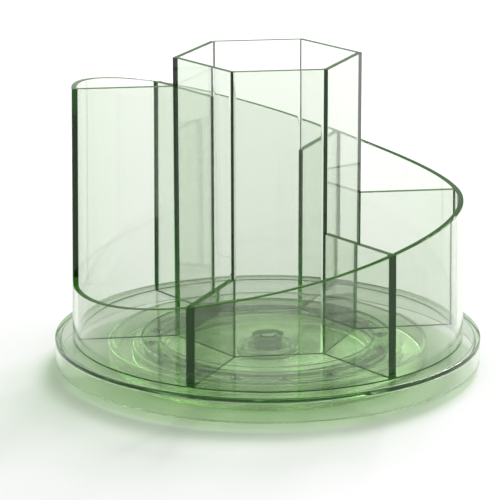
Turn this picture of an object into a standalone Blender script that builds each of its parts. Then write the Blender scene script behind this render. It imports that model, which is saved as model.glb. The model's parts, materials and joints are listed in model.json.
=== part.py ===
"""Rotating desk organizer in clear green acrylic.

A hexagonal pen cup stands in the middle of a turntable. Six radial dividers run
from its corners to a round outer wall, whose top edge climbs in a spiral from the
low front-left compartment, once round, to the tall one at the left. The turntable
is an inverted dish that turns on a ring of balls over a low stationary base.

Frame: metres, +Z up, origin on the desk under the spin axis. The corner of the
hexagon called "right" points along +X, and the front is -Y.
"""

from math import asin, atan, cos, degrees, pi, radians, sin, sqrt, tan

import bmesh
import bpy
from mathutils import Matrix, Vector

MM = 0.001
GAP = 0.3 * MM                 # between pieces that touch or are bonded

# turntable: inverted dish
TURN_R = 85.0 * MM
TURN_TOP = 12.8 * MM
TURN_PLATE = 2.2 * MM
SKIRT_BOTTOM = 3.0 * MM
SKIRT_WALL = 2.2 * MM
RIM_EASE = 0.5 * MM            # eased top edge of the rim
RACE_IN, RACE_OUT = 43.6 * MM, 50.4 * MM
RACE_FACE = 8.3 * MM           # height of the turntable's ball track
BOSS_R, BOSS_BORE = 6.0 * MM, 3.3 * MM

# organizer walls, standing on the turntable
WALL_R = 78.0 * MM             # outside, at the foot
WALL_TAPER = 1.2 / 87.0        # the wall leans in by this much per unit of height
WALL_T = 2.2 * MM
HEX_R = 37.2 * MM              # centre to an outer corner
HEX_TOP = 125.3 * MM
HEX_T = 2.0 * MM
DIVIDER_T = 2.6 * MM
FLOOR = TURN_TOP + GAP         # where every wall starts
# top edge of the outer wall at each divider: angle, height, climb per degree
STATIONS = (
    (180.0, 35.6 * MM, 0.00 * MM),
    (240.0, 44.0 * MM, 0.28 * MM),
    (300.0, 61.2 * MM, 0.26 * MM),
    (360.0, 68.9 * MM, 0.02 * MM),
    (420.0, 79.6 * MM, 0.38 * MM),
    (480.0, 102.7 * MM, 0.32 * MM),
    (540.0, 114.0 * MM, 0.05 * MM),
)
STEP_FILLET = 3.0 * MM         # where the low edge meets the upright cut
DIVIDERS = (
    ("divider_right", 0.0, 68.9 * MM),
    ("divider_back_right", 60.0, 79.6 * MM),
    ("divider_back_left", 120.0, 102.7 * MM),
    ("divider_left", 180.0, 113.9 * MM),
    ("divider_front_left", 240.0, 44.0 * MM),
    ("divider_front_right", 300.0, 61.0 * MM),
)
HEX_PANELS = (
    ("hex_panel_back_right", 30.0),
    ("hex_panel_back", 90.0),
    ("hex_panel_back_left", 150.0),
    ("hex_panel_front_left", 210.0),
    ("hex_panel_front", 270.0),
    ("hex_panel_front_right", 330.0),
)

# stationary base
BASE_R = 64.0 * MM
BASE_WALL = 2.2 * MM
BASE_BOTTOM = 1.0 * MM
BASE_FLOOR = 3.0 * MM
BASE_TOP = 9.4 * MM
TRACK = 3.7 * MM               # height of the base's ball track
FOOT_R, FOOT_T, FOOT_AT = 6.0 * MM, 0.7 * MM, 54.0 * MM

# ball ring
BALLS = 16
BALL_R = 2.0 * MM
BALL_CIRCLE = 47.0 * MM
BALL_Z = 6.0 * MM
CAGE_IN, CAGE_OUT = 44.2 * MM, 49.8 * MM
CAGE_Z = (5.2 * MM, 6.8 * MM)
CAGE_HOLE = 2.4 * MM

# centre pin, pressed up into the turntable's boss from below
PIN_R = 3.0 * MM
PIN_TOP = 9.6 * MM
PIN_HEAD_R = 9.5 * MM
PIN_HEAD_Z = (1.2 * MM, 2.7 * MM)
WASHER_R = (3.3 * MM, 8.5 * MM)
WASHER_Z = (3.0 * MM, 3.6 * MM)

for old in list(bpy.data.objects):
    bpy.data.objects.remove(old, do_unlink=True)


def collection(name, hidden=False):
    made = bpy.data.collections.new(name)
    bpy.context.scene.collection.children.link(made)
    made.hide_render = hidden
    return made


PARTS = collection("desk_organizer")
CUTTERS = collection("cutters", hidden=True)


def material(name, colour, roughness, metallic=0.0, transmission=0.0, ior=1.49):
    made = bpy.data.materials.new(name)
    made.use_nodes = True
    made.diffuse_color = (*colour, 1.0)
    shader = made.node_tree.nodes["Principled BSDF"]
    shader.inputs["Base Color"].default_value = (*colour, 1.0)
    shader.inputs["Roughness"].default_value = roughness
    shader.inputs["Metallic"].default_value = metallic
    shader.inputs["Transmission Weight"].default_value = transmission
    shader.inputs["IOR"].default_value = ior
    return made


GREEN = material("clear_green_acrylic", (0.72, 0.86, 0.70), 0.03, transmission=1.0)
NATURAL = material("natural_nylon", (0.80, 0.84, 0.78), 0.30, transmission=0.6, ior=1.53)
BEAD = material("clear_bead", (0.90, 0.95, 0.90), 0.05, transmission=1.0, ior=1.5)
SOFT = material("clear_soft_pad", (0.78, 0.84, 0.77), 0.45, transmission=0.5, ior=1.42)


def adopt(obj, mat, parent=None):
    """Moves the object into the parts, under its body's empty, with its material."""
    for other in list(obj.users_collection):
        other.objects.unlink(obj)
    PARTS.objects.link(obj)
    obj.data.materials.clear()
    obj.data.materials.append(mat)
    obj.parent = parent
    return obj


def empty(name, parent=None):
    made = bpy.data.objects.new(name, None)
    PARTS.objects.link(made)
    made.parent = parent
    return made


BASE = empty("axis_base")
SPIN = empty("axis_turntable", BASE)
RING = empty("axis_ball_ring", BASE)


def from_bmesh(name, bm, mat, parent):
    bmesh.ops.recalc_face_normals(bm, faces=bm.faces[:])
    mesh = bpy.data.meshes.new(name)
    bm.to_mesh(mesh)
    bm.free()
    obj = bpy.data.objects.new(name, mesh)
    bpy.context.scene.collection.objects.link(obj)
    return adopt(obj, mat, parent)


def turned(name, profile, mat, parent, steps=72, closed=True):
    """A profile in the XZ plane turned about Z. It runs down its outer side."""
    mesh = bpy.data.meshes.new(name)
    points = [(x, 0.0, z) for x, z in profile]
    edges = [(i, i + 1) for i in range(len(points) - 1)]
    if closed:
        edges.append((len(points) - 1, 0))
    mesh.from_pydata(points, edges, [])
    obj = bpy.data.objects.new(name, mesh)
    bpy.context.scene.collection.objects.link(obj)
    screw = obj.modifiers.new("turn", "SCREW")
    screw.axis = "Z"
    screw.angle = 2 * pi
    screw.steps = steps
    screw.render_steps = steps
    screw.use_merge_vertices = True
    screw.merge_threshold = 0.00001
    screw.use_smooth_shade = True
    return adopt(obj, mat, parent)


def prism(name, outline, z0, tops, mat, parent):
    """An upright prism: the outline's face drawn up to z0, then its copy to the top.

    tops gives the top outline's own points, so a prism can lean at one end."""
    bm = bmesh.new()
    face = bm.faces.new([bm.verts.new((x, y, z0)) for x, y in outline])
    made = bmesh.ops.extrude_face_region(bm, geom=[face])
    upper = [v for v in made["geom"] if isinstance(v, bmesh.types.BMVert)]
    for vert in upper:
        nearest = min(
            range(len(outline)),
            key=lambda i: (outline[i][0] - vert.co.x) ** 2 + (outline[i][1] - vert.co.y) ** 2,
        )
        vert.co = Vector(tops[nearest])
    return from_bmesh(name, bm, mat, parent)


def wall_outside(z):
    return WALL_R - WALL_TAPER * (z - TURN_TOP)


def wall_top(angle):
    """Height of the outer wall's top edge at an angle from 180 to 540 degrees."""
    for (a0, z0, s0), (a1, z1, s1) in zip(STATIONS, STATIONS[1:]):
        if angle <= a1:
            break
    span = a1 - a0
    t = (angle - a0) / span
    return (
        (2 * t**3 - 3 * t**2 + 1) * z0
        + (t**3 - 2 * t**2 + t) * span * s0
        + (3 * t**2 - 2 * t**3) * z1
        + (t**3 - t**2) * span * s1
    )


# ---------------------------------------------------------------- turntable
turned(
    "turntable_disc",
    (
        (0.0, TURN_TOP),
        (TURN_R - RIM_EASE, TURN_TOP),
        (TURN_R - 0.3 * RIM_EASE, TURN_TOP - 0.3 * RIM_EASE),
        (TURN_R, TURN_TOP - RIM_EASE),
        (TURN_R, SKIRT_BOTTOM),
        (TURN_R - SKIRT_WALL, SKIRT_BOTTOM),
        (TURN_R - SKIRT_WALL, TURN_TOP - TURN_PLATE),
        (RACE_OUT, TURN_TOP - TURN_PLATE),
        (RACE_OUT, RACE_FACE),
        (RACE_IN, RACE_FACE),
        (RACE_IN, TURN_TOP - TURN_PLATE),
        (BOSS_R, TURN_TOP - TURN_PLATE),
        (BOSS_R, 3.9 * MM),
        (BOSS_BORE, 3.9 * MM),
        (BOSS_BORE, PIN_TOP + 0.4 * MM),
        (0.0, PIN_TOP + 0.4 * MM),
    ),
    GREEN,
    SPIN,
    closed=False,
)

# ---------------------------------------------------------------- outer wall
# An open upright surface on the wall's middle, given its gauge by Solidify.
COLUMN = 3.0
cut_angle = 180.0 + degrees(asin(DIVIDER_T / 2 / (WALL_R - WALL_T)))
fillet_angle = degrees(STEP_FILLET / WALL_R)
angles = [cut_angle + fillet_angle * f for f in (0.0, 0.06, 0.2, 0.45, 1.0)]
first = int(angles[-1] // COLUMN + 1) * COLUMN
angles += [first + COLUMN * i for i in range(int((cut_angle + 360.0 - first) / COLUMN) + 1)]
if cut_angle + 360.0 - angles[-1] < 0.5:
    angles.pop()


def low_edge(angle):
    run = (angle - cut_angle) / fillet_angle * STEP_FILLET
    rise = 0.0
    if run < STEP_FILLET:
        rise = STEP_FILLET - sqrt(STEP_FILLET**2 - (STEP_FILLET - run) ** 2)
    return wall_top(min(angle, 540.0)) + rise


bm = bmesh.new()


def wall_vert(angle, z):
    radius = wall_outside(z) - WALL_T / 2
    a = radians(angle)
    return bm.verts.new((radius * cos(a), radius * sin(a), z))


lows = [wall_vert(a, FLOOR) for a in angles]
highs = [wall_vert(a, low_edge(a)) for a in angles]
step_top = wall_vert(cut_angle, wall_top(540.0))
for i in range(len(angles) - 1):
    bm.faces.new((lows[i], lows[i + 1], highs[i + 1], highs[i]))
bm.faces.new((lows[-1], lows[0], highs[0], step_top, highs[-1]))
outer_wall = from_bmesh("outer_wall", bm, GREEN, SPIN)
solid = outer_wall.modifiers.new("gauge", "SOLIDIFY")
solid.thickness = WALL_T
solid.offset = 0.0
solid.use_even_offset = True

# ---------------------------------------------------------------- hexagonal cup
half_outer = HEX_R / 2
apothem = HEX_R * cos(radians(30.0))
mitre_back = GAP / 2 / sin(radians(60.0))
for name, angle in HEX_PANELS:
    # a flat sheet, its two upright ends mitred at 60 degrees
    bm = bmesh.new()
    bmesh.ops.create_cube(bm, size=1.0)
    for vert in bm.verts:
        outside = vert.co.x > 0
        half = half_outer - mitre_back
        if not outside:
            half -= HEX_T * tan(radians(30.0))
        vert.co = Vector(
            (
                apothem if outside else apothem - HEX_T,
                half if vert.co.y > 0 else -half,
                HEX_TOP if vert.co.z > 0 else FLOOR,
            )
        )
    panel = from_bmesh(name, bm, GREEN, SPIN)
    panel.rotation_euler = (0.0, 0.0, radians(angle))

# ---------------------------------------------------------------- dividers
slope = tan(radians(30.0))
nose = HEX_R + GAP / cos(radians(30.0))
for name, angle, top in DIVIDERS:
    half = DIVIDER_T / 2

    def reach(z, y):
        inner = wall_outside(z) - WALL_T - GAP - 0.00003
        return sqrt(inner**2 - y**2)

    outline = [
        (nose, 0.0),
        (nose - slope * half, -half),
        (reach(FLOOR, half), -half),
        (reach(FLOOR, 0.0), 0.0),
        (reach(FLOOR, half), half),
        (nose - slope * half, half),
    ]
    tops = [
        (nose, 0.0, top),
        (nose - slope * half, -half, top),
        (reach(top, half), -half, top),
        (reach(top, 0.0), 0.0, top),
        (reach(top, half), half, top),
        (nose - slope * half, half, top),
    ]
    sheet = prism(name, outline, FLOOR, tops, GREEN, SPIN)
    sheet.rotation_euler = (0.0, 0.0, radians(angle))

# ---------------------------------------------------------------- base
turned(
    "base_dish",
    (
        (BASE_R, BASE_TOP),
        (BASE_R, BASE_BOTTOM),
        (10.5 * MM, BASE_BOTTOM),
        (10.5 * MM, 3.9 * MM),
        (6.35 * MM, 3.9 * MM),
        (6.35 * MM, 8.2 * MM),
        (8.4 * MM, 8.2 * MM),
        (8.4 * MM, 5.9 * MM),
        (12.5 * MM, 5.9 * MM),
        (12.5 * MM, BASE_FLOOR),
        (41.2 * MM, BASE_FLOOR),
        (41.2 * MM, 6.2 * MM),
        (42.8 * MM, 6.2 * MM),
        (42.8 * MM, TRACK),
        (51.8 * MM, TRACK),
        (51.8 * MM, 7.4 * MM),
        (54.0 * MM, 7.4 * MM),
        (54.0 * MM, BASE_FLOOR),
        (BASE_R - BASE_WALL, BASE_FLOOR),
        (BASE_R - BASE_WALL, BASE_TOP),
    ),
    GREEN,
    BASE,
)

for i, side in enumerate(("back_right", "back_left", "front_left", "front_right")):
    a = radians(45.0 + 90.0 * i)
    bm = bmesh.new()
    bmesh.ops.create_cone(
        bm, cap_ends=True, cap_tris=False, segments=24, radius1=FOOT_R, radius2=FOOT_R, depth=FOOT_T
    )
    foot = from_bmesh("foot_" + side, bm, SOFT, BASE)
    foot.location = (FOOT_AT * cos(a), FOOT_AT * sin(a), FOOT_T / 2)

turned(
    "center_pin",
    (
        (0.0, PIN_TOP),
        (PIN_R - 0.5 * MM, PIN_TOP),
        (PIN_R, PIN_TOP - 0.8 * MM),
        (PIN_R, PIN_HEAD_Z[1]),
        (PIN_HEAD_R, PIN_HEAD_Z[1]),
        (PIN_HEAD_R, PIN_HEAD_Z[0]),
        (0.0, PIN_HEAD_Z[0]),
    ),
    NATURAL,
    SPIN,
    steps=32,
    closed=False,
)
turned(
    "thrust_washer",
    (
        (WASHER_R[1], WASHER_Z[1]),
        (WASHER_R[1], WASHER_Z[0]),
        (WASHER_R[0], WASHER_Z[0]),
        (WASHER_R[0], WASHER_Z[1]),
    ),
    NATURAL,
    SPIN,
    steps=32,
)

# ---------------------------------------------------------------- ball ring
cage = turned(
    "ball_cage",
    (
        (CAGE_OUT, CAGE_Z[1]),
        (CAGE_OUT, CAGE_Z[0]),
        (CAGE_IN, CAGE_Z[0]),
        (CAGE_IN, CAGE_Z[1]),
    ),
    NATURAL,
    RING,
    steps=64,
)
bm = bmesh.new()
for i in range(BALLS):
    a = 2 * pi * i / BALLS
    bmesh.ops.create_cone(
        bm,
        cap_ends=True,
        segments=16,
        radius1=CAGE_HOLE,
        radius2=CAGE_HOLE,
        depth=6.0 * MM,
        matrix=Matrix.Translation((BALL_CIRCLE * cos(a), BALL_CIRCLE * sin(a), BALL_Z)),
    )
mesh = bpy.data.meshes.new("ball_pockets")
bm.to_mesh(mesh)
bm.free()
pockets = bpy.data.objects.new("ball_pockets", mesh)
CUTTERS.objects.link(pockets)
pockets.hide_render = True
pockets.display_type = "WIRE"
cut = cage.modifiers.new("pockets", "BOOLEAN")
cut.operation = "DIFFERENCE"
cut.object = pockets

ball_mesh = None
for i in range(BALLS):
    a = 2 * pi * i / BALLS
    if ball_mesh is None:
        bm = bmesh.new()
        bmesh.ops.create_uvsphere(bm, u_segments=10, v_segments=6, radius=BALL_R)
        ball = from_bmesh("ball_%02d" % (i + 1), bm, BEAD, RING)
        ball_mesh = ball.data
    else:
        ball = bpy.data.objects.new("ball_%02d" % (i + 1), ball_mesh)
        PARTS.objects.link(ball)
        ball.parent = RING
    ball.location = (BALL_CIRCLE * cos(a), BALL_CIRCLE * sin(a), BALL_Z)

for obj in PARTS.objects:
    if obj.type == "MESH":
        obj.data.shade_smooth()
        obj.data.set_sharp_from_angle(angle=radians(30.0))
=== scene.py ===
"""Looks for the rotating desk organizer: fine meshes of clear green acrylic around
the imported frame, a pale floor, soft studio light and the camera."""

import json
import math
from math import asin, cos, degrees, pi, radians, sin, sqrt, tan

import bmesh
import bpy
from mathutils import Matrix, Vector

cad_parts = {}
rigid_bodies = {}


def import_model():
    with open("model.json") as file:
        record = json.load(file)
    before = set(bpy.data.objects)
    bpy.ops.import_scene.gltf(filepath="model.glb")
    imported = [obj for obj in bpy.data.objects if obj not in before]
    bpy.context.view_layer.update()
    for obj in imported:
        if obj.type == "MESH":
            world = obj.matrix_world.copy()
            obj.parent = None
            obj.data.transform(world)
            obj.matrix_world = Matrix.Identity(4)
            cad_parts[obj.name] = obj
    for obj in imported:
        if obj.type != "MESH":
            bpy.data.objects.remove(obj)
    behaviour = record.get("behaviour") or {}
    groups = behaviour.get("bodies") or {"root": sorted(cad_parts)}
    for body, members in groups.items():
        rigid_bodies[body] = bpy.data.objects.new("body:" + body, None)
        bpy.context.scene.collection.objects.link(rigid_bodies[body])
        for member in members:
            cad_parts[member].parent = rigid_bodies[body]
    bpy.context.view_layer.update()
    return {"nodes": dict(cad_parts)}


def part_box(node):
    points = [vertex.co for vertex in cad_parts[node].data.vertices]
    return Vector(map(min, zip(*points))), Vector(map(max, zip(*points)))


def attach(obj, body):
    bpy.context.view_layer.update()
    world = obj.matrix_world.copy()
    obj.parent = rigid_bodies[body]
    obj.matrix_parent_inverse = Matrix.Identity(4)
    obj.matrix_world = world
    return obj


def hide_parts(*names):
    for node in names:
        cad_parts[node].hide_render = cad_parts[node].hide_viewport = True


for old in list(bpy.data.objects):
    bpy.data.objects.remove(old, do_unlink=True)

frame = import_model()
scene = bpy.context.scene
MM = 0.001

# ------------------------------------------------------------------ sizes
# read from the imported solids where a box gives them
turn_lo, turn_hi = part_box("turntable_disc")
wall_lo, wall_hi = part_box("outer_wall")
base_lo, base_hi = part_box("base_dish")
TURN_R = 85.0 * MM
TURN_TOP = turn_hi.z
SKIRT_BOTTOM = turn_lo.z if turn_lo.z > 0.0029 else 0.003
PLATE = 2.2 * MM
SKIRT_WALL = 2.2 * MM
WALL_R = 78.0 * MM
WALL_TAPER = 1.2 / 87.0
WALL_T = 2.2 * MM
HEX_R = 37.2 * MM
HEX_T = 2.0 * MM
HEX_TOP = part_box("hex_panel_front")[1].z
DIVIDER_T = 2.6 * MM
SEAM = 0.01 * MM               # the bond line between two sheets
FLOOR = TURN_TOP + SEAM
HALF = DIVIDER_T / 2
WALL_IN = WALL_R - WALL_T      # inside of the outer wall at its foot
JOINT_R = 0.5 * MM             # round in the corner where a divider meets the outer wall
CORNER_R = 2.0 * MM            # round inside each corner of the cup
BARE_TURN = degrees(asin(HALF / WALL_IN))   # half a divider's thickness, as an angle at the wall
EDGE_TURN = degrees(asin((HALF + JOINT_R) / WALL_IN))
LAND = HALF / cos(radians(30.0))            # what a divider covers of each hexagon side
STATIONS = (
    (180.0, 35.6 * MM, 0.00 * MM),
    (240.0, 44.0 * MM, 0.28 * MM),
    (300.0, 61.2 * MM, 0.26 * MM),
    (360.0, 68.9 * MM, 0.02 * MM),
    (420.0, 79.6 * MM, 0.38 * MM),
    (480.0, 102.7 * MM, 0.32 * MM),
    (540.0, 114.0 * MM, 0.05 * MM),
)
STEP_FILLET = 3.0 * MM
DIVIDERS = {
    "divider_right": 0.0,
    "divider_back_right": 60.0,
    "divider_back_left": 120.0,
    "divider_left": 180.0,
    "divider_front_left": 240.0,
    "divider_front_right": 300.0,
}
HEX_PANELS = {
    "hex_panel_back_right": 30.0,
    "hex_panel_back": 90.0,
    "hex_panel_back_left": 150.0,
    "hex_panel_front_left": 210.0,
    "hex_panel_front": 270.0,
    "hex_panel_front_right": 330.0,
}


# ------------------------------------------------------------------ materials
def nodes_of(mat):
    mat.use_nodes = True
    tree = mat.node_tree
    return tree, tree.nodes["Principled BSDF"], tree.nodes["Material Output"]


def math_node(tree, operation, a, b=None):
    node = tree.nodes.new("ShaderNodeMath")
    node.operation = operation
    for socket, value in zip(node.inputs, (a, b)):
        if value is None:
            continue
        if isinstance(value, (int, float)):
            socket.default_value = value
        else:
            tree.links.new(value, socket)
    return node.outputs[0]


def noise(tree, coords, scale, detail=2.0, stretch=None):
    if stretch is not None:
        mapping = tree.nodes.new("ShaderNodeMapping")
        mapping.inputs["Scale"].default_value = stretch
        tree.links.new(coords, mapping.inputs["Vector"])
        coords = mapping.outputs["Vector"]
    node = tree.nodes.new("ShaderNodeTexNoise")
    node.inputs["Scale"].default_value = scale
    node.inputs["Detail"].default_value = detail
    tree.links.new(coords, node.inputs["Vector"])
    return node.outputs["Fac"]


# painted glow: the deep green emitted where very deep paths inside the plastic end
PAINTED_DEEP_GLOW = (0.038, 0.065, 0.032)


def clear_plastic(name, tint, density, body=(1.0, 1.0, 1.0), ior=1.49, rough=(0.005, 0.03), wave=0.00006, shade=(0.93, 0.95, 0.93), gloss=(0.82, 0.90, 0.76), clear=1.0, painted_glow=None):
    """Clear moulded plastic: bends light, absorbs by length, and lets lamps' light through.

    wave is the height in metres of the slow ripple that moulding leaves."""
    mat = bpy.data.materials.new(name)
    tree, shader, out = nodes_of(mat)
    shader.inputs["Base Color"].default_value = (*body, 1.0)
    shader.inputs["Transmission Weight"].default_value = clear
    shader.inputs["IOR"].default_value = ior
    if painted_glow:
        # painted glow: the face emits a little green, standing in for light piped along the sheet
        shader.inputs["Emission Color"].default_value = (*painted_glow, 1.0)
        shader.inputs["Emission Strength"].default_value = 1.0
    shader.inputs["Specular Tint"].default_value = (*gloss, 1.0)
    coords = tree.nodes.new("ShaderNodeTexCoord").outputs["Object"]
    # roughness: polished, with faint handling haze
    haze = noise(tree, coords, 38.0, 4.0)
    span = tree.nodes.new("ShaderNodeMapRange")
    span.inputs["From Min"].default_value = 0.35
    span.inputs["From Max"].default_value = 0.8
    span.inputs["To Min"].default_value = rough[0]
    span.inputs["To Max"].default_value = rough[1]
    tree.links.new(haze, span.inputs["Value"])
    tree.links.new(span.outputs["Result"], shader.inputs["Roughness"])
    # relief: slow ripple and finer flow marks
    slow = noise(tree, coords, 22.0, 1.0, (1.0, 1.0, 0.55))
    fine = noise(tree, coords, 90.0, 2.0)
    both = math_node(tree, "ADD", slow, math_node(tree, "MULTIPLY", fine, 0.12))
    bump = tree.nodes.new("ShaderNodeBump")
    bump.inputs["Strength"].default_value = 1.0
    bump.inputs["Distance"].default_value = wave
    tree.links.new(both, bump.inputs["Height"])
    tree.links.new(bump.outputs["Normal"], shader.inputs["Normal"])
    # lamps and diffuse light pass straight through, dimmed by the shade colour at each crossing: this set colour,
    # not the plastic, decides how dark the cast shadow is (painted shadow)
    path = tree.nodes.new("ShaderNodeLightPath")
    through = tree.nodes.new("ShaderNodeBsdfTransparent")
    through.inputs["Color"].default_value = (*shade, 1.0)
    # painted glow: a path that has bounced inside the plastic more than 11 times ends in a fixed deep green emission
    # instead of going on
    painted_deep_glow = tree.nodes.new("ShaderNodeEmission")
    painted_deep_glow.inputs["Color"].default_value = (*PAINTED_DEEP_GLOW, 1.0)
    painted_deep_glow.inputs["Strength"].default_value = 1.0
    deep = tree.nodes.new("ShaderNodeMixShader")
    tree.links.new(math_node(tree, "GREATER_THAN", path.outputs["Ray Depth"], 11.5), deep.inputs[0])
    tree.links.new(shader.outputs["BSDF"], deep.inputs[1])
    tree.links.new(painted_deep_glow.outputs["Emission"], deep.inputs[2])
    mix = tree.nodes.new("ShaderNodeMixShader")
    fac = math_node(tree, "MAXIMUM", path.outputs["Is Shadow Ray"], path.outputs["Is Diffuse Ray"])
    tree.links.new(fac, mix.inputs[0])
    tree.links.new(deep.outputs[0], mix.inputs[1])
    tree.links.new(through.outputs["BSDF"], mix.inputs[2])
    tree.links.new(mix.outputs[0], out.inputs["Surface"])
    absorb = tree.nodes.new("ShaderNodeVolumeAbsorption")
    absorb.inputs["Color"].default_value = (*tint, 1.0)
    absorb.inputs["Density"].default_value = density
    tree.links.new(absorb.outputs["Volume"], out.inputs["Volume"])
    return mat


def bond_line(name, tint, density):
    """A welded face: light crosses it unbent, as in plastic that has no joint."""
    mat = bpy.data.materials.new(name)
    mat.use_nodes = True
    tree = mat.node_tree
    tree.nodes.remove(tree.nodes["Principled BSDF"])
    out = tree.nodes["Material Output"]
    clear = tree.nodes.new("ShaderNodeBsdfTransparent")
    clear.inputs["Color"].default_value = (1.0, 1.0, 1.0, 1.0)
    tree.links.new(clear.outputs["BSDF"], out.inputs["Surface"])
    absorb = tree.nodes.new("ShaderNodeVolumeAbsorption")
    absorb.inputs["Color"].default_value = (*tint, 1.0)
    absorb.inputs["Density"].default_value = density
    tree.links.new(absorb.outputs["Volume"], out.inputs["Volume"])
    return mat


SHEET_TINT = ((0.84, 0.95, 0.79), 100.0)
DEEP_TINT = ((0.84, 0.89, 0.79), 100.0)
SHEET_BODY = (0.893, 0.906, 0.884)
GREEN = clear_plastic("clear_green_acrylic", *SHEET_TINT, body=SHEET_BODY, shade=(0.965, 0.975, 0.96))
# painted shadow: the disc's shade colour is much darker than the sheets' though it is the same plastic, to darken
# the floor under the disc to a deep green
GREEN_DISC = clear_plastic(
    "clear_green_acrylic_disc", *SHEET_TINT, body=SHEET_BODY, wave=0.00001, shade=(0.71, 0.80, 0.66)
)
# painted shadow: the base's shade colour is darker than the sheets', to darken the floor beneath it
GREEN_DEEP = clear_plastic(
    "clear_green_acrylic_thick",
    *DEEP_TINT,
    body=(0.96, 0.975, 0.93),
    rough=(0.16, 0.26),
    wave=0.0,
    shade=(0.86, 0.915, 0.82),
)
# rounded top edges: a darker green surface colour and a weak emitted glow, painted in for the deep green that light
# piped along the sheets gives the edges
GREEN_EDGE = clear_plastic(
    "clear_green_acrylic_edge", *SHEET_TINT, body=(0.55, 0.80, 0.45), ior=1.2, rough=(0.02, 0.05), shade=(0.965, 0.975, 0.96), painted_glow=(0.022, 0.062, 0.010)
)
GREEN_BOND = bond_line("bonded_face", *SHEET_TINT)
NYLON = clear_plastic(
    "natural_nylon", (0.86, 0.94, 0.80), 90.0, body=(0.93, 0.97, 0.90), ior=1.5, rough=(0.03, 0.06), shade=(0.9, 0.95, 0.88)
)
MILKY = clear_plastic(
    "natural_nylon_turned", (0.86, 0.94, 0.80), 90.0, body=(0.55, 0.68, 0.47), ior=1.5, rough=(0.35, 0.5), shade=(0.8, 0.87, 0.78), clear=0.3
)
BEAD = clear_plastic("clear_bead", (0.86, 0.93, 0.83), 60.0, ior=1.55, wave=0.00001)
SOFT = clear_plastic("clear_soft_pad", (0.8, 0.86, 0.78), 150.0, ior=1.42, rough=(0.25, 0.5), shade=(0.7, 0.75, 0.7))


# ------------------------------------------------------------------ mesh helpers
def to_object(name, bm, mat, body, smooth=30.0, edge=0.0):
    bmesh.ops.remove_doubles(bm, verts=bm.verts[:], dist=1e-7)
    bmesh.ops.recalc_face_normals(bm, faces=bm.faces[:])
    mesh = bpy.data.meshes.new(name)
    bm.to_mesh(mesh)
    bm.free()
    obj = bpy.data.objects.new(name, mesh)
    scene.collection.objects.link(obj)
    for each in mat if isinstance(mat, tuple) else (mat,):
        mesh.materials.append(each)
    mesh.shade_smooth()
    if smooth:
        mesh.set_sharp_from_angle(angle=radians(smooth))
    if edge:
        bevel = obj.modifiers.new("eased_edges", "BEVEL")
        bevel.width = edge
        bevel.segments = 2
        bevel.limit_method = "WEIGHT"
    if smooth:
        # broad faces keep true normals next to the small rounds
        even = obj.modifiers.new("face_normals", "WEIGHTED_NORMAL")
        even.mode = "FACE_AREA"
        even.weight = 50
        even.keep_sharp = True
    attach(obj, body)
    return obj


def rounded(points, steps=4):
    """A closed outline whose corners (x, z, radius) are drawn as arcs."""
    out = []
    n = len(points)
    for i, (x, z, r) in enumerate(points):
        if not r:
            out.append((x, z))
            continue
        p = Vector((x, z))
        a = Vector(points[i - 1][:2]) - p
        b = Vector(points[(i + 1) % n][:2]) - p
        la, lb = a.length, b.length
        a.normalize()
        b.normalize()
        half = math.acos(max(-1.0, min(1.0, a.dot(b)))) / 2
        cut = min(r / tan(half), 0.49 * la, 0.49 * lb)
        r = cut * tan(half)
        centre = p + (a + b).normalized() * (r / sin(half))
        start = p + a * cut - centre
        end = p + b * cut - centre
        turn = math.atan2(start.x * end.y - start.y * end.x, start.dot(end))
        for k in range(steps + 1):
            t = turn * k / steps
            out.append(
                (
                    centre.x + start.x * cos(t) - start.y * sin(t),
                    centre.y + start.x * sin(t) + start.y * cos(t),
                )
            )
    return out


def far_side(angle):
    """How far a divider's joint reaches past its centre line. The left one ends flush with the wall's cut."""
    return BARE_TURN if angle == 180.0 else EDGE_TURN


def joint_round(reach, side):
    """Points (x, y) of the round from a divider's side out to the wall, on the +y or -y side."""
    centre = reach - JOINT_R
    return [
        (centre + JOINT_R * sin(t), side * (HALF + JOINT_R - JOINT_R * cos(t)))
        for t in (0.0, radians(25), radians(50), radians(75))
    ]


def cup_corner(i):
    """The rounded inside of cup corner i, from the side before it to the side after it."""
    tuck = HEX_R - HEX_T / cos(radians(30.0)) - CORNER_R / cos(radians(30.0))
    a = radians(60.0 * i)
    return [
        (tuck * cos(a) + CORNER_R * cos(a + t), tuck * sin(a) + CORNER_R * sin(a + t))
        for t in (radians(7.5 * k) for k in range(-4, 5))
    ]


def directions(step=1.0):
    """Column directions in degrees round a full turn, with both edges of every divider among them."""
    marks = [(a + t) % 360.0 for a in DIVIDERS.values() for t in (-EDGE_TURN, 0.0, far_side(a))]
    count = round(360.0 / step)
    plain = [k * step for k in range(count)]
    kept = [b for b in plain if min(abs((b - m + 180.0) % 360.0 - 180.0) for m in marks) > 0.3 * step]
    return sorted(marks + kept)


def turned(bm, outline, angles, closed):
    """Rings of an outline (x, z) about Z, joined by faces. Returns the rings."""
    rings = []
    for x, z in outline:
        if x < 1e-9:
            rings.append([bm.verts.new((0.0, 0.0, z))])
        else:
            rings.append([bm.verts.new((x * cos(radians(a)), x * sin(radians(a)), z)) for a in angles])
    count = len(rings)
    segments = len(angles)
    for i in range(count if closed else count - 1):
        a, b = rings[i], rings[(i + 1) % count]
        if len(a) == 1 and len(b) == 1:
            continue
        for k in range(segments):
            m = (k + 1) % segments
            if len(a) == 1:
                bm.faces.new((a[0], b[k], b[m]))
            elif len(b) == 1:
                bm.faces.new((a[k], b[0], a[m]))
            else:
                bm.faces.new((a[k], b[k], b[m], a[m]))
    return rings


def lathe(name, points, mat, body, segments=360, steps=4, on_axis=False, smooth=30.0):
    """Turns an outline (x, z, corner radius) about Z. on_axis: first and last point lie on it."""
    bm = bmesh.new()
    turned(bm, rounded(points, steps), [360.0 * k / segments for k in range(segments)], not on_axis)
    return to_object(name, bm, mat, body, smooth)


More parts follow.
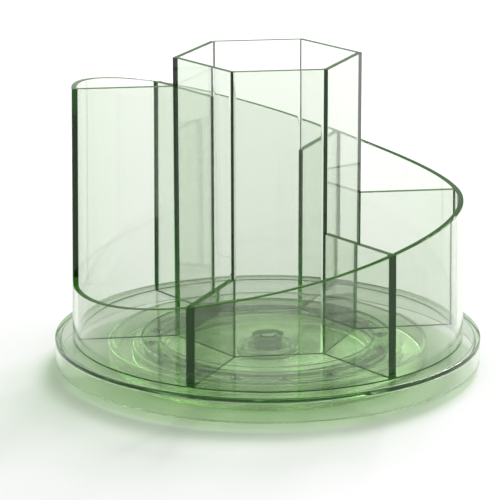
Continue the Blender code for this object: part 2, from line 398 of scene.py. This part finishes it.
def wall_outside(z):
    return WALL_R - WALL_TAPER * (z - TURN_TOP)


def wall_top(angle):
    for (a0, z0, s0), (a1, z1, s1) in zip(STATIONS, STATIONS[1:]):
        if angle <= a1:
            break
    span = a1 - a0
    t = (angle - a0) / span
    return (
        (2 * t**3 - 3 * t**2 + 1) * z0
        + (t**3 - 2 * t**2 + t) * span * s0
        + (3 * t**2 - 2 * t**3) * z1
        + (t**3 - t**2) * span * s1
    )


# ------------------------------------------------------------------ turntable
E = 0.35 * MM


def build_turntable():
    """The disc: turned rim, skirt, race and boss, and a flat top whose welded lands follow the sheets."""
    angles = directions()
    outline = rounded(
        (
            (WALL_IN, TURN_TOP, 0),
            (WALL_R, TURN_TOP, 0),
            (TURN_R, TURN_TOP, 0.5 * MM),
            (TURN_R, SKIRT_BOTTOM, 0.5 * MM),
            (TURN_R - SKIRT_WALL, SKIRT_BOTTOM, 0.4 * MM),
            (TURN_R - SKIRT_WALL, TURN_TOP - PLATE, 0.6 * MM),
            (50.4 * MM, TURN_TOP - PLATE, E),
            (50.4 * MM, 8.3 * MM, E),
            (43.6 * MM, 8.3 * MM, E),
            (43.6 * MM, TURN_TOP - PLATE, E),
            (6.0 * MM, TURN_TOP - PLATE, E),
            (6.0 * MM, 3.9 * MM, 0.25 * MM),
            (3.3 * MM, 3.9 * MM, 0.25 * MM),
            (3.3 * MM, 10.0 * MM, 0.25 * MM),
            (0.0, 10.0 * MM, 0),
        )
    )
    bm = bmesh.new()
    rings = turned(bm, outline, angles, False)
    bm.faces.ensure_lookup_table()
    count = len(angles)
    for face in bm.faces[:count]:      # under the outer wall
        face.material_index = 1
    rim = rings[0]

    def at(angle):
        return min(range(count), key=lambda k: abs((angles[k] - angle + 180.0) % 360.0 - 180.0))

    def flat(x, y):
        return bm.verts.new((x, y, TURN_TOP))

    corner, inner, after, before, left, right = [], [], [], [], [], []
    for i in range(6):
        a = radians(60.0 * i)
        c = Vector((cos(a), sin(a))) * HEX_R
        corner.append(flat(*c))
        inner.append([flat(x, y) for x, y in cup_corner(i)])
        for store, sign in ((after, 1.0), (before, -1.0)):
            other = radians(60.0 * (i + sign))
            d = (Vector((cos(other), sin(other))) * HEX_R - c).normalized() * LAND
            store.append(flat(*(c + d)))
        for store, sign in ((left, 1.0), (right, -1.0)):
            # the divider's edge on the disc, from the cup out to the wall
            round_ = []
            if not (i == 3 and sign > 0):
                foot = sqrt(WALL_IN**2 - (HALF + JOINT_R) ** 2)
                round_ = [
                    flat(x * cos(a) - y * sin(a), x * sin(a) + y * cos(a)) for x, y in joint_round(foot, sign)
                ]
            turn = far_side(60.0 * i) if sign > 0 else EDGE_TURN
            store.append(round_ + [rim[at(60.0 * i + sign * turn)]])
    for i in range(6):
        j = (i + 1) % 6
        low = rim.index(left[i][-1])
        high = rim.index(right[j][-1])
        run = []
        k = (high - 1) % count
        while k != low:
            run.append(rim[k])
            k = (k - 1) % count
        bm.faces.new([after[i], before[j]] + right[j] + run + left[i][::-1])
        weld = bm.faces.new(
            [corner[i], after[i], before[j], corner[j]] + inner[j][4::-1] + inner[i][:3:-1]
        )
        weld.material_index = 1
        weld = bm.faces.new(
            [corner[i], before[i]] + right[i] + [rim[at(60.0 * i)]] + left[i][::-1] + [after[i]]
        )
        weld.material_index = 1
    bm.faces.new([v for arc in inner for v in arc])
    return to_object("turntable_disc_fine", bm, (GREEN_DISC, GREEN_BOND), "turntable")


turntable = build_turntable()
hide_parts("turntable_disc")

# ------------------------------------------------------------------ outer wall
cut_angle = 180.0 + BARE_TURN
fillet_angle = degrees(STEP_FILLET / WALL_R)


def low_edge(angle):
    run = (angle - cut_angle) / fillet_angle * STEP_FILLET
    rise = 0.0
    if run < STEP_FILLET:
        rise = STEP_FILLET - sqrt(max(0.0, STEP_FILLET**2 - (STEP_FILLET - run) ** 2))
    return wall_top(min(angle, 540.0)) + rise


def build_wall():
    r = 0.3 * MM
    turns = 3
    angles = [cut_angle + fillet_angle * (1 - cos(pi / 2 * k / 8)) for k in range(9)]
    rest = []
    for base_turn in (0.0, 360.0):
        rest += [a + base_turn for a in directions()]
    last = cut_angle + 360.0
    angles += [a for a in rest if angles[-1] + 0.3 < a < last - 0.01]
    angles.append(last)
    bm = bmesh.new()

    def vert(angle, radius, z):
        a = radians(angle)
        return bm.verts.new((radius * cos(a), radius * sin(a), z))

    def section(angle, top):
        """inner foot, rounded top from inside to outside, outer foot"""
        inner = [vert(angle, wall_outside(FLOOR) - WALL_T, FLOOR)]
        arc = []
        for k in range(turns + 1):
            t = pi / 2 * k / turns
            z = top - r + r * sin(t)
            arc.append(vert(angle, wall_outside(z) - WALL_T + r - r * cos(t), z))
        for k in range(turns + 1):
            t = pi / 2 * k / turns
            z = top - r + r * cos(t)
            arc.append(vert(angle, wall_outside(z) - r + r * sin(t), z))
        return inner + arc + [vert(angle, wall_outside(FLOOR), FLOOR)]

    def welded(a, b):
        """True where a divider's end covers the inside between two columns."""
        middle = ((a + b) / 2 + 30.0) % 60.0 - 30.0
        return abs(middle) < EDGE_TURN and a > 200.0

    columns = [section(a, low_edge(a)) for a in angles[:-1]]
    end = section(angles[-1], wall_top(540.0))
    # the last column stands on the first one
    start = columns[0]
    n = len(end)
    for i in range(len(columns) - 1):
        a, b = columns[i], columns[i + 1]
        for k in range(n):
            m = (k + 1) % len(a)
            face = bm.faces.new((a[k], a[m], b[m], b[k]))
            if k == len(a) - 1 or (k == 0 and welded(angles[i], angles[i + 1])):
                face.material_index = 1
            elif 1 <= k < n - 2:
                face.material_index = 2
    a = columns[-1]
    # inside and outside of the last strip take in the first column's top corners
    bm.faces.new((a[0], a[1], end[1], start[1], start[0])).material_index = 1
    bm.faces.new((a[n - 2], a[n - 1], start[n - 1], start[n - 2], end[n - 2]))
    bm.faces.new((a[n - 1], a[0], start[0], start[n - 1])).material_index = 1
    for k in range(1, n - 2):
        bm.faces.new((a[k], a[k + 1], end[k + 1], end[k])).material_index = 2
    # the upright cut
    bm.faces.new([end[k] for k in range(1, n - 1)] + [start[k] for k in range(n - 2, 0, -1)])
    for v in (end[0], end[n - 1]):
        bm.verts.remove(v)
    return to_object("outer_wall_fine", bm, (GREEN, GREEN_BOND, GREEN_EDGE), "turntable")


wall = build_wall()
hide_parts("outer_wall")

# ------------------------------------------------------------------ cup and dividers
apothem = HEX_R * cos(radians(30.0))
divider_top = {angle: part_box(node)[1].z for node, angle in DIVIDERS.items()}


def build_panel(node, angle):
    """One side of the cup. Its mitred ends, its foot and the strips behind the dividers are welded."""
    gap = SEAM / 2 / sin(radians(60.0))
    half = HEX_R / 2 - gap
    near = divider_top[(angle - 30.0) % 360.0]     # at y = -half
    far = divider_top[(angle + 30.0) % 360.0]
    bm = bmesh.new()
    xo, xi = apothem, apothem - HEX_T
    bend = half - HEX_T * tan(radians(30.0)) - CORNER_R * tan(radians(30.0))
    arc = [
        (xi - CORNER_R + CORNER_R * cos(radians(7.5 * k)), bend + CORNER_R * sin(radians(7.5 * k)))
        for k in range(4, -1, -1)
    ]
    inside = arc + [(x, -y) for x, y in arc[::-1]]

    def vert(x, y, z):
        return bm.verts.new((x, y, z))

    o0, o0m, o0t = (vert(xo, -half, z) for z in (FLOOR, near, HEX_TOP))
    o1, o1m, o1t = (vert(xo, half, z) for z in (FLOOR, far, HEX_TOP))
    p0, p0m = (vert(xo, -half + LAND, z) for z in (FLOOR, near))
    p1, p1m = (vert(xo, half - LAND, z) for z in (FLOOR, far))
    low = [vert(x, y, FLOOR) for x, y in inside]
    high = [vert(x, y, HEX_TOP) for x, y in inside]
    for ring, weld in (
        ((o0, p0, p0m, o0m), 1),
        ((p1, o1, o1m, p1m), 1),
        ((p0, p1, p1m, o1m, o1t, o0t, o0m, p0m), 0),
        ((o1, o1m, o1t, high[0], low[0]), 1),
        ((o0, o0m, o0t, high[-1], low[-1]), 1),
        ((o0, p0, p1, o1, *low), 1),
        ((o0t, o1t, *high), 2),
    ):
        bm.faces.new(ring).material_index = weld
    weight = bm.edges.layers.float.new("bevel_weight_edge")
    bm.edges.get((o0t, o1t))[weight] = 1.0
    for k in range(len(low) - 1):
        bm.faces.new((low[k], low[k + 1], high[k + 1], high[k]))
        bm.edges.get((high[k], high[k + 1]))[weight] = 1.0
    bmesh.ops.rotate(bm, verts=bm.verts[:], cent=(0, 0, 0), matrix=Matrix.Rotation(radians(angle), 3, "Z"))
    panel = to_object(node + "_fine", bm, (GREEN, GREEN_BOND, GREEN_EDGE), "turntable", edge=0.15 * MM)
    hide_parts(node)


def build_divider(node, angle):
    """An upright sheet from a corner of the cup to the outer wall, welded at both ends and at its foot."""
    top = divider_top[angle]
    nose = HEX_R + SEAM / cos(radians(30.0))
    slope = tan(radians(30.0))
    bm = bmesh.new()

    def reach(z, y):
        inner = wall_outside(z) - WALL_T - SEAM
        return sqrt(inner**2 - y**2)

    flush = angle == 180.0

    def ring(z):
        """nose, -y side, round, end on the wall, round, +y side"""
        tip = reach(z, HALF + JOINT_R)
        plan = [(nose, 0.0), (nose - slope * HALF, -HALF)]
        plan += joint_round(tip, -1.0) + [(tip, -HALF - JOINT_R), (reach(z, 0.0), 0.0)]
        if flush:
            plan += [(reach(z, HALF), HALF)]
        else:
            plan += [(tip, HALF + JOINT_R)] + joint_round(tip, 1.0)[::-1]
        plan += [(nose - slope * HALF, HALF)]
        return [bm.verts.new((x, y, z)) for x, y in plan]

    low, high = ring(FLOOR), ring(top)
    count = len(low)
    welds = {0, 6, 7, count - 1}
    bm.faces.new(low).material_index = 1
    bm.faces.new(high).material_index = 2
    weight = bm.edges.layers.float.new("bevel_weight_edge")
    for k in range(count):
        m = (k + 1) % count
        bm.faces.new((low[k], low[m], high[m], high[k])).material_index = 1 if k in welds else 0
        if k not in welds:
            bm.edges.get((high[k], high[m]))[weight] = 1.0
    bmesh.ops.rotate(bm, verts=bm.verts[:], cent=(0, 0, 0), matrix=Matrix.Rotation(radians(angle), 3, "Z"))
    sheet = to_object(node + "_fine", bm, (GREEN, GREEN_BOND, GREEN_EDGE), "turntable", edge=0.15 * MM)
    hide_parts(node)


for node, angle in HEX_PANELS.items():
    build_panel(node, angle)
for node, angle in DIVIDERS.items():
    build_divider(node, angle)

# ------------------------------------------------------------------ base
B = 0.4 * MM
base = lathe(
    "base_dish_fine",
    (
        (64.0 * MM, 9.4 * MM, 0.5 * MM),
        (64.0 * MM, 1.0 * MM, 0.8 * MM),
        (10.5 * MM, 1.0 * MM, B),
        (10.5 * MM, 3.9 * MM, B),
        (6.35 * MM, 3.9 * MM, B),
        (6.35 * MM, 8.2 * MM, B),
        (8.4 * MM, 8.2 * MM, B),
        (8.4 * MM, 5.9 * MM, B),
        (12.5 * MM, 5.9 * MM, B),
        (12.5 * MM, 3.0 * MM, B),
        (41.2 * MM, 3.0 * MM, B),
        (41.2 * MM, 6.2 * MM, B),
        (42.8 * MM, 6.2 * MM, B),
        (42.8 * MM, 3.7 * MM, B),
        (51.8 * MM, 3.7 * MM, B),
        (51.8 * MM, 7.4 * MM, B),
        (54.0 * MM, 7.4 * MM, B),
        (54.0 * MM, 3.0 * MM, B),
        (61.8 * MM, 3.0 * MM, 0.8 * MM),
        (61.8 * MM, 9.4 * MM, 0.4 * MM),
    ),
    GREEN_DEEP,
    "base",
)
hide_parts("base_dish")

for node in ("foot_back_right", "foot_back_left", "foot_front_left", "foot_front_right"):
    lo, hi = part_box(node)
    centre = (lo + hi) / 2
    radius = (hi.x - lo.x) / 2
    pad = lathe(
        node + "_fine",
        (
            (0.0, hi.z + 0.26 * MM, 0),
            (radius, hi.z + 0.26 * MM, 0.15 * MM),
            (radius, lo.z, 0.3 * MM),
            (0.0, lo.z, 0),
        ),
        SOFT,
        "base",
        segments=64,
        on_axis=True,
    )
    pad.data.transform(Matrix.Translation((centre.x, centre.y, 0.0)))
    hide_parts(node)

pin = lathe(
    "center_pin_fine",
    (
        (0.0, 9.6 * MM, 0),
        (3.0 * MM, 9.6 * MM, 0.6 * MM),
        (3.0 * MM, 2.7 * MM, 0.3 * MM),
        (9.5 * MM, 2.7 * MM, 0.3 * MM),
        (9.5 * MM, 1.2 * MM, 0.5 * MM),
        (0.0, 1.2 * MM, 0),
    ),
    MILKY,
    "turntable",
    segments=96,
    on_axis=True,
)
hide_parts("center_pin")
washer = lathe(
    "thrust_washer_fine",
    (
        (8.5 * MM, 3.6 * MM, 0.15 * MM),
        (8.5 * MM, 3.0 * MM, 0.15 * MM),
        (3.3 * MM, 3.0 * MM, 0.15 * MM),
        (3.3 * MM, 3.6 * MM, 0.15 * MM),
    ),
    MILKY,
    "turntable",
    segments=96,
)
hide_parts("thrust_washer")

# ------------------------------------------------------------------ ball ring
for i in range(16):
    node = "ball_%02d" % (i + 1)
    lo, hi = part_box(node)
    centre = (lo + hi) / 2
    bm = bmesh.new()
    bmesh.ops.create_icosphere(bm, subdivisions=4, radius=2.0 * MM)
    bmesh.ops.translate(bm, verts=bm.verts[:], vec=centre)
    ball = to_object(node + "_fine", bm, BEAD, "ball_ring", smooth=0)
    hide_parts(node)

frame["nodes"]["ball_cage"].data.materials.clear()
frame["nodes"]["ball_cage"].data.materials.append(NYLON)

# ------------------------------------------------------------------ floor, light, camera
floor_mat = bpy.data.materials.new("pale_floor")
tree, shader, out = nodes_of(floor_mat)
shader.inputs["Base Color"].default_value = (0.93, 0.93, 0.93, 1.0)
shader.inputs["Roughness"].default_value = 0.9
shader.inputs["Specular IOR Level"].default_value = 0.2
bm = bmesh.new()
bmesh.ops.create_circle(bm, cap_ends=True, segments=96, radius=6.0)
floor_mesh = bpy.data.meshes.new("floor")
bm.to_mesh(floor_mesh)
bm.free()
floor_mesh.materials.append(floor_mat)
floor = bpy.data.objects.new("floor", floor_mesh)
scene.collection.objects.link(floor)

world = bpy.data.worlds.new("studio")
scene.world = world
world.use_nodes = True
tree = world.node_tree
dim = tree.nodes["Background"]
dim.inputs["Color"].default_value = (1.0, 1.0, 1.0, 1.0)
dim.inputs["Strength"].default_value = 0.50
pale = tree.nodes.new("ShaderNodeBackground")
pale.inputs["Color"].default_value = (1.0, 1.0, 1.0, 1.0)
pale.inputs["Strength"].default_value = 1.0
choose = tree.nodes.new("ShaderNodeMixShader")
# the studio looks white, shows a little dimmer in the plastic, and lights the floor less again
seen = tree.nodes.new("ShaderNodeLightPath").outputs
in_plastic = math_node(tree, "MAXIMUM", seen["Is Glossy Ray"], seen["Is Transmission Ray"])
in_plastic = math_node(tree, "MULTIPLY", in_plastic, 0.35)
tree.links.new(math_node(tree, "MAXIMUM", seen["Is Camera Ray"], in_plastic), choose.inputs[0])
tree.links.new(dim.outputs["Background"], choose.inputs[1])
tree.links.new(pale.outputs["Background"], choose.inputs[2])
tree.links.new(choose.outputs[0], tree.nodes["World Output"].inputs["Surface"])


def softbox(name, at, look, size, power):
    light = bpy.data.lights.new(name, "AREA")
    light.shape = "RECTANGLE"
    light.size, light.size_y = size
    light.energy = power
    obj = bpy.data.objects.new(name, light)
    scene.collection.objects.link(obj)
    obj.location = at
    obj.rotation_mode = "QUATERNION"
    obj.rotation_quaternion = (Vector(look) - Vector(at)).to_track_quat("-Z", "Y")
    return obj


key = softbox("key", (1.2, 2.0, 2.0), (0, 0, 0.03), (1.2, 1.2), 83.0)
key.visible_transmission = False
side = softbox("side", (1.5, 0.15, 0.5), (0, 0, 0.03), (0.7, 0.5), 7.0)
side.visible_glossy = False
side.visible_transmission = False

AZ, EL, DIST = radians(-7.83), radians(15.33), 1.02895
AIM = Vector((0.0, 0.0, 0.04647))
camera_data = bpy.data.cameras.new("camera")
camera = bpy.data.objects.new("camera", camera_data)
scene.collection.objects.link(camera)
back = Vector((sin(AZ) * cos(EL), -cos(AZ) * cos(EL), sin(EL)))
camera.location = AIM + back * DIST
camera.rotation_mode = "QUATERNION"
camera.rotation_quaternion = (-back).to_track_quat("-Z", "Y")
camera_data.sensor_width = 36.0
camera_data.lens = 186.45
camera_data.shift_x = -0.03548
camera_data.clip_start, camera_data.clip_end = 0.05, 50.0
scene.camera = camera

scene.view_settings.view_transform = "Standard"
scene.view_settings.look = "None"
scene.cycles.max_bounces = 40
scene.cycles.transmission_bounces = 40
scene.cycles.glossy_bounces = 40
scene.cycles.diffuse_bounces = 3
scene.cycles.transparent_max_bounces = 40
scene.cycles.caustics_refractive = False
scene.cycles.caustics_reflective = False
scene.cycles.use_denoising = True
